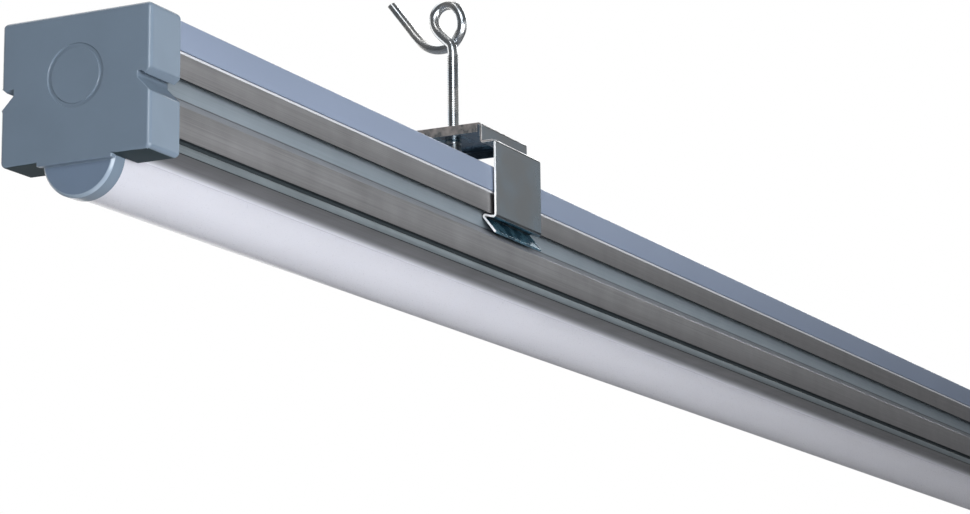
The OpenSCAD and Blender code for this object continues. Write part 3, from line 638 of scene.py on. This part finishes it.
opal = opal_plastic()
bore_r = lens_r - lens_t
lens_inside = [(bore_r, foot_top_z), *half_round(bore_r), (-bore_r, foot_top_z)]
lens_outside = mirrored(foot) + half_round(lens_r)[::-1] + foot
lens = run_section("lens", lens_inside + lens_outside, -lens_x, 2 * lens_x, lens_corner_r, opal)
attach(lens, "luminaire")
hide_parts("diffuser")

# End caps
# Each cap is a blue-grey moulding that slips over the end of the body. A half-round hood under it
# closes the lens, and a ring in its face marks the knock-out for the supply.
fixture_x = 0.75
cap_soft = 0.0017
cap_low_z = -0.0516
entry_z = -0.0214
entry_clear_r = 0.013
notch_top_z = -0.0225
notch_low_z = -0.0309
socket_y = 0.0304
socket_top_z = 0.0008
socket_low_z = -0.0505
hood_flat_r = 0.013


def softened(node, name, width, finish, weigh=None, segments=4):
    """A copy of a CAD node with its doubles merged, its flat faces joined and its edges rounded."""
    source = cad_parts[node]
    mesh = source.data.copy()
    mesh.name = name
    bm = bmesh.new()
    bm.from_mesh(mesh)
    bmesh.ops.remove_doubles(bm, verts=bm.verts, dist=1e-6)
    bmesh.ops.dissolve_limit(bm, angle_limit=math.radians(0.4), verts=bm.verts, edges=bm.edges)
    weight = bm.edges.layers.float.new("bevel_weight_edge")
    for edge in bm.edges:
        bent = len(edge.link_faces) == 2 and edge.calc_face_angle() > math.radians(38)
        edge[weight] = (weigh(edge) if weigh else 1) if bent else 0
    bm.to_mesh(mesh)
    bm.free()
    mesh.materials.clear()
    mesh.materials.append(finish)
    obj = bpy.data.objects.new(name, mesh)
    bpy.context.scene.collection.objects.link(obj)
    round_off = obj.modifiers.new("round", "BEVEL")
    round_off.width = width
    round_off.segments = segments
    round_off.limit_method = "WEIGHT"
    round_off.use_clamp_overlap = False
    round_off.harden_normals = False
    plain_mesh(obj)
    obj.data.shade_smooth()
    obj.data.set_sharp_from_angle(angle=math.radians(35))
    even = obj.modifiers.new("even", "WEIGHTED_NORMAL")
    even.keep_sharp = True
    return plain_mesh(obj)


def cap_edges(end):
    """How far each edge of a cap is rounded: most round its face, least at the knock-out."""
    def weigh(edge):
        mid = (edge.verts[0].co + edge.verts[1].co) / 2
        depth = fixture_x - mid.x * end
        on_side = abs(mid.y) > wall_y - 2 * reach and not notch_low_z < mid.z < notch_top_z
        in_socket = abs(mid.y) < socket_y and socket_low_z < mid.z < socket_top_z
        if math.hypot(mid.y, mid.z - entry_z) < entry_clear_r:
            return 0.12
        if depth < 0.0004 and (on_side or mid.z > 0.001):
            return 1
        if depth > 0.0015 and in_socket:
            return 0
        return 0.22
    return weigh


cap_plastic = satin("cap_plastic", (0.145, 0.19, 0.243), 0.25, cloud=45, grain=1500, relief=0.03)
# Painted highlight: a lighter copy of the cap's plastic on the hood's rim.
cap_rim_painted_highlight = satin("cap_rim_painted_highlight", (0.25, 0.31, 0.38), 0.2, cloud=45, grain=1500, relief=0.03)
# Painted shade: a bluer copy of the cap's plastic on the recessed face of the hood.
cap_hood_painted_shade = satin("cap_hood_painted_shade", (0.142, 0.19, 0.262), 0.25, cloud=45, grain=1500, relief=0.03)
# Painted shade: a near-black copy of the cap's plastic on the undersides of the caps.
cap_underside_painted_shade = satin("cap_underside_painted_shade", (0.018, 0.034, 0.042), 0.6, depth=0.1, cloud=60, grain=1500)
dulled(cap_underside_painted_shade)


def under_cap(face):
    return face.normal.z < -0.9 and abs(face.center.z - cap_low_z) < 4 * reach


def on_rim(face):
    off_centre = math.hypot(face.center.y, face.center.z - lens_z)
    leans = 0.3 < abs(face.normal.x) < 0.96
    return leans and face.center.z < cap_low_z and off_centre > hood_flat_r


def on_hood(face):
    at_end = abs(face.center.x) > fixture_x - 0.01
    return abs(face.normal.x) > 0.96 and face.center.z < cap_low_z - 6 * reach and at_end


for side, end in (("near", -1), ("far", 1)):
    cap = softened(f"end_cap_{side}", f"cap_{side}", cap_soft, cap_plastic, weigh=cap_edges(end))
    finish_faces(cap, cap_underside_painted_shade, under_cap)
    finish_faces(cap, cap_rim_painted_highlight, on_rim)
    finish_faces(cap, cap_hood_painted_shade, on_hood)
    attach(cap, "luminaire")
    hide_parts(f"end_cap_{side}")

# End gaskets
# Soft black gaskets lie between each cap's face and the cut end of the body. They are cut from
# rubber sheet and keep dust and damp out of the ends.
black_rubber = satin("black_rubber", (0.02, 0.02, 0.022), 0.7, depth=0.2, cloud=120, relief=0.3)


def dress(finish, *nodes):
    """Gives CAD nodes whose shape is right their finish."""
    for name in nodes:
        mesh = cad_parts[name].data
        mesh.materials.clear()
        mesh.materials.append(finish)


dress(black_rubber, "end_gasket_near", "end_gasket_far")

# Boards and their fixings
# Three white boards carry a row of light chips under the shelf. Each is held by four zinc screws,
# and small white plugs bridge them.
board_white = satin("board_white", (0.86, 0.87, 0.85), 0.35, depth=0.04, cloud=60, relief=0.05)
phosphor = satin("phosphor", (0.9, 0.72, 0.2), 0.3, depth=0.1, cloud=400, relief=0.05)
plug_white = satin("plug_white", (0.85, 0.85, 0.82), 0.4, depth=0.05, relief=0.1)
dress(board_white, "led_board_1", "led_board_2", "led_board_3")
dress(phosphor, "led_chips")
dress(plug_white, "board_plugs", "driver_input_block", "driver_output_block", "terminal_block")


def zinc_group():
    """Bright zinc: soft patches of bluish and straw tint with fine crystals."""
    group, given, out = new_tree(
        "ShaderNodeTree", "zinc_bloom",
        [("Cool", COLOUR, (0.5, 0.56, 0.62, 1)), ("Warm", COLOUR, (0.6, 0.57, 0.5, 1)),
         ("Patch scale", FLOAT, 60.0), ("Crystal scale", FLOAT, 900.0)],
        [("Colour", COLOUR), ("Patch", FLOAT), ("Crystal", FLOAT)],
    )
    node = group.nodes.new
    link = group.links.new
    place = node("ShaderNodeTexCoord")
    patch = node("ShaderNodeTexNoise")
    patch.inputs["Detail"].default_value = 4
    crystal = node("ShaderNodeTexVoronoi")
    for texture, label in ((patch, "Patch scale"), (crystal, "Crystal scale")):
        link(place.outputs["Object"], texture.inputs["Vector"])
        link(given.outputs[label], texture.inputs["Scale"])
    patches = spread_out(node, link, patch.outputs[0], 0.38, 0.62)
    tint = tinted(node, link, patches, given.outputs["Cool"])
    link(given.outputs["Warm"], tint.inputs["B"])
    link(tint.outputs["Result"], out.inputs["Colour"])
    link(patches, out.inputs["Patch"])
    link(crystal.outputs["Distance"], out.inputs["Crystal"])
    return group


zinc_bloom = zinc_group()


def zinc(name, cool, warm, rough, patch=60.0, crystal=900.0, relief=0.08, metallic=1.0):
    """Plated or plain bright metal, from a cool and a warm tint."""
    material, node, link, shader = new_finish(name, metallic=metallic)
    plate = use_group(node, zinc_bloom, Cool=(*cool, 1), Warm=(*warm, 1), Patch_scale=patch,
                      Crystal_scale=crystal)
    link(plate.outputs["Colour"], shader.inputs["Base Color"])
    span(node, link, plate.outputs["Patch"], rough - 0.05, rough + 0.07, shader.inputs["Roughness"])
    bump(node, link, plate.outputs["Crystal"], shader, relief, skin_relief)
    return material


zinc_small = zinc("zinc_small", (0.62, 0.64, 0.66), (0.68, 0.66, 0.6), 0.3)
dress(zinc_small, "board_screws", "driver_screws")

# Driver
# A slim case of white painted steel with a pressed lid. It is screwed to the shelf by an ear at
# each end.
dress(satin("case_paint", (0.78, 0.79, 0.78), 0.4, depth=0.05, cloud=30), "driver_case")
dress(satin("lid_paint", (0.72, 0.73, 0.72), 0.4, depth=0.05, cloud=30), "driver_lid")

# Mains leads and earth
# Single sleeved leads run from the terminal block to the driver, and the earth lead ends at a brass
# ring tag under a green screw.
dress(satin("live_sleeve", (0.16, 0.05, 0.02), 0.4, cloud=90), "live_lead")
dress(satin("neutral_sleeve", (0.02, 0.09, 0.45), 0.4, cloud=90), "neutral_lead")
dress(satin("earth_sleeve", (0.2, 0.5, 0.03), 0.4, cloud=90), "earth_lead")
dress(satin("feed_sleeve", (0.55, 0.02, 0.015), 0.4, cloud=90), "led_lead")
dress(zinc("tag_brass", (0.62, 0.45, 0.16), (0.7, 0.52, 0.22), 0.3), "earth_tag")
dress(satin("earth_lacquer", (0.03, 0.3, 0.08), 0.3, cloud=200), "earth_screw")
dress(black_rubber, "shelf_grommet")

# Cable gland
# The supply enters the far cap through a moulded nylon gland. Its body is screwed into the cap
# against a rubber washer, and its dome nut squeezes a rubber seal round the cable.
gland_soft = 0.0004
gland_nylon = satin("gland_nylon", (0.26, 0.29, 0.33), 0.38, depth=0.08, cloud=70, relief=0.14)
for node_name, piece_name in (("gland_body", "gland_trunk"), ("gland_dome_nut", "gland_dome")):
    moulding = softened(node_name, piece_name, gland_soft, gland_nylon)
    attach(moulding, "luminaire")
    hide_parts(node_name)
dress(gland_nylon, "gland_locknut")
dress(black_rubber, "gland_washer", "gland_seal")

# Spring clips
# Each clip is one strip of zinc-plated spring sheet, folded over the cover. Its legs end in V tabs
# that hook under the lips of the grooves, and its plate carries the bush of the hook.
clip_x = {"near": -0.456, "far": 0.456}
clip_half_w = 0.0225
clip_soft = 0.00014
clip_zinc = zinc("sheet_zinc", (0.155, 0.185, 0.215), (0.21, 0.22, 0.23), 0.29, patch=45, crystal=700,
                 relief=0.1)
# Bare cut steel on the clip's end faces, painted near white as a highlight.
clip_cut_edge_and_highlight = zinc("sheet_cut_edge_and_highlight", (0.86, 0.88, 0.9), (0.92, 0.92, 0.9), 0.3, patch=300, metallic=0.15)
# Painted light: a lighter, less metallic copy of the sheet on the flange faces at the clip's ends.
clip_flange_painted_light = zinc("sheet_flange_painted_light", (0.17, 0.17, 0.17), (0.38, 0.34, 0.32), 0.32, patch=260,
                   metallic=0.5)
# Painted shade: a dark copy of the sheet on the bend over the cover, holding back its highlight.
clip_bend_painted_shade = zinc("sheet_bend_painted_shade", (0.06, 0.065, 0.072), (0.085, 0.085, 0.09), 0.4, patch=200)
# Painted shade and reflection: a dark teal copy of the sheet under the plate and on the V tabs.
clip_inside_painted_shade = zinc("sheet_inside_painted_shade", (0.008, 0.045, 0.075), (0.09, 0.2, 0.27), 0.24, patch=150,
                   metallic=0.7)


def on_clip_end(face):
    from_middle = abs(abs(face.center.x) - clip_x["far"])
    return abs(face.normal.x) > 0.9 and from_middle > clip_half_w - 2 * reach


def on_flange(face):
    return on_clip_end(face) and abs(face.center.y) < 0.0235 and face.center.z > 0.0113


def on_bend(face):
    return abs(face.normal.x) < 0.5 and 0.05 < face.normal.z < 0.9 and abs(face.center.y) > 0.02


def inside_clip(face):
    under_plate = face.normal.z < -0.6 and face.center.z > 0.008
    return abs(face.normal.x) < 0.5 and (face.center.z < -0.0222 or under_plate)


for side in clip_x:
    clip = softened(f"clip_{side}", f"spring_clip_{side}", clip_soft, clip_zinc, segments=2)
    finish_faces(clip, clip_bend_painted_shade, on_bend)
    finish_faces(clip, clip_inside_painted_shade, inside_clip)
    finish_faces(clip, clip_cut_edge_and_highlight, on_clip_end)
    finish_faces(clip, clip_flange_painted_light, on_flange)
    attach(clip, f"clip_{side}")
    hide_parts(f"clip_{side}")

# Threaded bushes
# A small bush of turned and zinc-plated steel is peened into each clip's plate and takes the
# thread of the hook.
bush_soft = 0.00012
bush_zinc = zinc("bush_zinc", (0.6, 0.64, 0.68), (0.7, 0.7, 0.68), 0.26, patch=200)
for side in clip_x:
    bush = softened(f"hook_bush_{side}", f"bush_{side}_turned", bush_soft, bush_zinc, segments=2)
    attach(bush, f"bush_{side}")
    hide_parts(f"hook_bush_{side}")

# Pigtail hooks
# Each hook is bent from one zinc-plated wire: a shank with a rolled M5 thread, a round eye that
# passes behind the shank, and an open tail.
thread_pitch = 0.0008
thread_major = 0.0025
thread_minor = 0.00208
thread_low = 0.012
thread_high = 0.0595
wire_r = 0.00225
path_steps = 5
mm = 0.001
eye_points_mm = [
    (0, 0, -1.5), (0, 0.1, 1.5), (0, 0.8, 4.5), (0.2, 3.2, 7), (0.4, 6.8, 10.6), (0.6, 9, 14),
    (0.9, 9.6, 17.5), (1.2, 8.6, 20.8), (1.5, 6.2, 23), (1.8, 3.2, 23.8), (2.2, 0.2, 22.9),
    (2.7, -2, 19.8), (3.3, -3, 15.7), (3.9, -2.4, 11.9), (4.4, -0.6, 8.9), (4.8, 1.4, 6.8),
    (5, 3.6, 5.4), (5, 6.6, 4.7), (5, 10.4, 4.9), (4.8, 14, 6), (4.6, 17.6, 8.4),
    (4.3, 21, 12.1), (4, 24.6, 17), (3.7, 28.6, 22.4), (3.4, 32.6, 27.8),
]


def smooth_path(points):
    """Points of a smooth curve through the given ones."""
    path = []
    for i in range(len(points) - 1):
        a, b = Vector(points[max(i - 1, 0)]), Vector(points[i])
        c, d = Vector(points[i + 1]), Vector(points[min(i + 2, len(points) - 1)])
        for k in range(path_steps):
            t = k / path_steps
            path.append(b + t * (c - a) / 2 + t * t * (a - 2.5 * b + 2 * c - d / 2)
                        + t * t * t * (1.5 * b - a / 2 - 1.5 * c + d / 2))
    path.append(Vector(points[-1]))
    return path


def hook_tree():
    """Geometry Nodes for a hook: the wire along its path, the thread's core and its helical ridge."""
    sizes = ("Wire radius", "Thread major", "Thread minor", "Thread pitch", "Thread low", "Thread high",
             "Place")
    tree, given, out = new_tree(
        "GeometryNodeTree", "pigtail",
        [("Path", GEOMETRY), *((name, FLOAT) for name in sizes), ("Finish", MATERIAL)],
        [("Piece", GEOMETRY)],
    )
    node = tree.nodes.new
    link = tree.links.new
    major, minor = given.outputs["Thread major"], given.outputs["Thread minor"]
    low, high = given.outputs["Thread low"], given.outputs["Thread high"]
    pitch = given.outputs["Thread pitch"]

    def on_axis(axis, value):
        made = node("ShaderNodeCombineXYZ")
        link(value, made.inputs[axis])
        return made.outputs[0]

    def swept(path, radius, sides):
        """A closed round bar along a path."""
        ring = node("GeometryNodeCurvePrimitiveCircle")
        ring.inputs["Resolution"].default_value = sides
        bar = node("GeometryNodeCurveToMesh")
        bar.inputs["Fill Caps"].default_value = True
        link(radius, ring.inputs["Radius"])
        link(path.outputs[0], bar.inputs["Curve"])
        link(ring.outputs["Curve"], bar.inputs["Profile Curve"])
        return bar.outputs[0]

    # The wire
    wire_path = node("GeometryNodeMeshToCurve")
    link(given.outputs["Path"], wire_path.inputs["Mesh"])
    wire = swept(wire_path, given.outputs["Wire radius"], 20)
    # The thread's core
    core_line = node("GeometryNodeCurvePrimitiveLine")
    link(on_axis("Z", low), core_line.inputs["Start"])
    link(on_axis("Z", high), core_line.inputs["End"])
    core = swept(core_line, minor, 24)
    # The ridge: a small flat-topped section along a spiral
    length = maths(node, link, "SUBTRACT", maths(node, link, "SUBTRACT", high, low), pitch)
    spiral = node("GeometryNodeCurveSpiral")
    spiral.inputs["Resolution"].default_value = 22
    spiral.inputs["Reverse"].default_value = False
    link(maths(node, link, "DIVIDE", length, pitch), spiral.inputs["Rotations"])
    link(minor, spiral.inputs["Start Radius"])
    link(minor, spiral.inputs["End Radius"])
    link(length, spiral.inputs["Height"])
    upright = node("GeometryNodeSetCurveNormal")
    upright.mode = "Z_UP"
    link(spiral.outputs[0], upright.inputs["Curve"])
    section = node("GeometryNodeCurvePrimitiveQuadrilateral")
    section.mode = "TRAPEZOID"
    section.inputs["Offset"].default_value = 0
    depth = maths(node, link, "SUBTRACT", major, minor)
    link(maths(node, link, "MULTIPLY", pitch, 0.66), section.inputs["Bottom Width"])
    link(maths(node, link, "MULTIPLY", pitch, 0.24), section.inputs["Top Width"])
    link(maths(node, link, "MULTIPLY", depth, 2), section.inputs["Height"])
    turned = node("GeometryNodeTransform")
    turned.inputs["Rotation"].default_value = (0, 0, -math.pi / 2)
    link(section.outputs[0], turned.inputs["Geometry"])
    ridge = node("GeometryNodeCurveToMesh")
    ridge.inputs["Fill Caps"].default_value = True
    link(upright.outputs[0], ridge.inputs["Curve"])
    link(turned.outputs[0], ridge.inputs["Profile Curve"])
    lifted = node("GeometryNodeTransform")
    start = maths(node, link, "MULTIPLY_ADD", pitch, 0.5, low)
    link(ridge.outputs[0], lifted.inputs["Geometry"])
    link(on_axis("Z", start), lifted.inputs["Translation"])
    # All of it, at its clip
    joined = node("GeometryNodeJoinGeometry")
    for part in (lifted.outputs[0], core, wire):
        link(part, joined.inputs[0])
    placed = node("GeometryNodeTransform")
    link(on_axis("X", given.outputs["Place"]), placed.inputs["Translation"])
    link(joined.outputs[0], placed.inputs["Geometry"])
    finish_tree(node, link, placed.outputs[0], given, out)
    return tree


pigtail = hook_tree()
wire_zinc = zinc("wire_zinc", (0.42, 0.46, 0.5), (0.56, 0.56, 0.55), 0.23, patch=90, crystal=1400,
                 relief=0.04)
# Painted shade: the thread's core is dark so the ridges stand out as if shaded between them.
root_painted_shade = zinc("thread_root_painted_shade", (0.05, 0.06, 0.07), (0.1, 0.1, 0.1), 0.4, patch=200)


def in_thread_root(face):
    from_axis = math.hypot(abs(face.center.x) - clip_x["far"], face.center.y)
    return from_axis < thread_minor + 0.00001 and thread_low < face.center.z < thread_high - 0.0005


for side, x in clip_x.items():
    path = [p * mm + Vector((0, 0, thread_high)) for p in smooth_path(eye_points_mm)]
    hook = placed_mesh(f"hook_wire_{side}", path, [(i, i + 1) for i in range(len(path) - 1)])
    with_nodes(hook, pigtail, Wire_radius=wire_r, Thread_major=thread_major, Thread_minor=thread_minor,
               Thread_pitch=thread_pitch, Thread_low=thread_low, Thread_high=thread_high, Place=x,
               Finish=wire_zinc)
    finish_faces(hook, root_painted_shade, in_thread_root)
    hook.data.shade_smooth()
    hook.data.set_sharp_from_angle(angle=math.radians(40))
    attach(hook, f"hook_{side}")
    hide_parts(f"hook_{side}")

# Studio
# A plain pale floor lies well below the fixture and fades into a white backdrop. Soft lamps light the
# fixture from below the near end, from both sides, from above and from behind.
floor_z = -0.62
floor_x = 9
mirror_share = 0.08
corners = [(-floor_x, -floor_x), (floor_x, -floor_x), (floor_x, floor_x), (-floor_x, floor_x)]
floor = placed_mesh("floor", [(x, y, floor_z) for x, y in corners], [], [(0, 1, 2, 3)])


def seen_white(node, link):
    """How white a ray finds the surroundings: in full if seen straight, a small share if mirrored."""
    rays = node("ShaderNodeLightPath")
    straight = maths(node, link, "MAXIMUM", rays.outputs["Is Camera Ray"],
                     rays.outputs["Is Transmission Ray"])
    return maths(node, link, "MULTIPLY_ADD", rays.outputs["Is Glossy Ray"], mirror_share, straight)


def floor_finish():
    """Pale floor with a soft shadow, fading into the white backdrop and clear when seen from below."""
    material, node, link, shader = new_finish("floor_pale")
    shader.inputs["Base Color"].default_value = (0.3, 0.305, 0.315, 1)
    shader.inputs["Roughness"].default_value = 0.9
    place = node("ShaderNodeTexCoord")
    far = node("ShaderNodeVectorMath")
    far.operation = "LENGTH"
    link(place.outputs["Object"], far.inputs[0])
    fade = node("ShaderNodeMapRange")
    fade.inputs["From Min"].default_value = 1.2
    fade.inputs["From Max"].default_value = 3.2
    fade.inputs["To Min"].default_value = 0.7
    link(far.outputs["Value"], fade.inputs["Value"])
    white = node("ShaderNodeEmission")
    white.inputs["Color"].default_value = (1, 1, 1, 1)
    mix = node("ShaderNodeMixShader")
    link(maths(node, link, "MULTIPLY", seen_white(node, link), fade.outputs[0]), mix.inputs[0])
    link(shader.outputs[0], mix.inputs[1])
    link(white.outputs[0], mix.inputs[2])
    one_sided = node("ShaderNodeMixShader")
    link(node("ShaderNodeNewGeometry").outputs["Backfacing"], one_sided.inputs[0])
    link(mix.outputs[0], one_sided.inputs[1])
    link(node("ShaderNodeBsdfTransparent").outputs[0], one_sided.inputs[2])
    link(one_sided.outputs[0], material.node_tree.nodes["Material Output"].inputs["Surface"])
    return material


floor.data.materials.append(floor_finish())


def studio_world():
    """Soft even light from all round, with a white backdrop for what is seen straight."""
    world = bpy.data.worlds.new("studio")
    world.use_nodes = True
    node = world.node_tree.nodes.new
    link = world.node_tree.links.new
    soft = world.node_tree.nodes["Background"]
    soft.inputs["Color"].default_value = (0.93, 0.96, 1, 1)
    soft.inputs["Strength"].default_value = 0.1
    white = node("ShaderNodeBackground")
    white.inputs["Color"].default_value = (1, 1, 1, 1)
    mix = node("ShaderNodeMixShader")
    link(seen_white(node, link), mix.inputs[0])
    link(soft.outputs[0], mix.inputs[1])
    link(white.outputs[0], mix.inputs[2])
    link(mix.outputs[0], world.node_tree.nodes["World Output"].inputs["Surface"])
    return world


bpy.context.scene.world = studio_world()
bpy.context.scene.view_settings.view_transform = "Standard"


def softbox(name, place, aim, width, height, watts, colour, spread):
    """A soft rectangular lamp aimed at a point, its beam narrowed by a grid to the spread in degrees."""
    lamp = bpy.data.lights.new(name, "AREA")
    lamp.shape = "RECTANGLE"
    lamp.size = width
    lamp.size_y = height
    lamp.energy = watts
    lamp.color = colour
    lamp.spread = math.radians(spread)
    obj = bpy.data.objects.new(name, lamp)
    obj.location = place
    obj.rotation_euler = (Vector(aim) - Vector(place)).to_track_quat("-Z", "Y").to_euler()
    bpy.context.scene.collection.objects.link(obj)


near_hook = (clip_x["near"], 0, 0.07)
softbox("key", (-1.2, -0.8, -0.22), (-0.85, 0, 0), 1.5, 0.4, 8.2, (0.97, 0.98, 1), 120)
softbox("near_fill", (-2.1, -0.8, 0.5), (-0.75, 0, 0), 0.6, 0.7, 1.4, (0.94, 0.97, 1), 70)
softbox("side", (0.15, -1.4, 0.0), (0.05, 0, 0), 1.2, 0.7, 1.3, (1, 0.98, 0.96), 120)
softbox("low", (-0.75, -0.1, -0.58), (-0.75, 0, -0.05), 0.8, 0.3, 0.45, (0.98, 0.98, 1), 120)
softbox("streak", (1.15, -1.1, 0.5), (-0.6, 0, -0.02), 0.7, 0.5, 0.25, (0.93, 0.98, 1), 90)
softbox("glint", (-1.5, -0.3, 1.1), near_hook, 0.4, 0.4, 0.04, (1, 1, 1), 20)
softbox("shank", (-1.28, -0.75, 0.38), near_hook, 0.5, 0.35, 0.05, (0.95, 0.98, 1), 20)
softbox("top", (0.2, 0.5, 1.5), (0.1, 0, 0), 2.6, 1.9, 16, (1, 0.99, 0.98), 130)
softbox("back", (0.3, 1.5, 0.1), (0.1, 0, 0), 2.6, 1.3, 14, (1, 0.99, 0.98), 150)
softbox("far_end", (1.8, 0.3, 1.0), (0.75, 0, 0), 0.9, 0.8, 6, (1, 1, 1), 80)
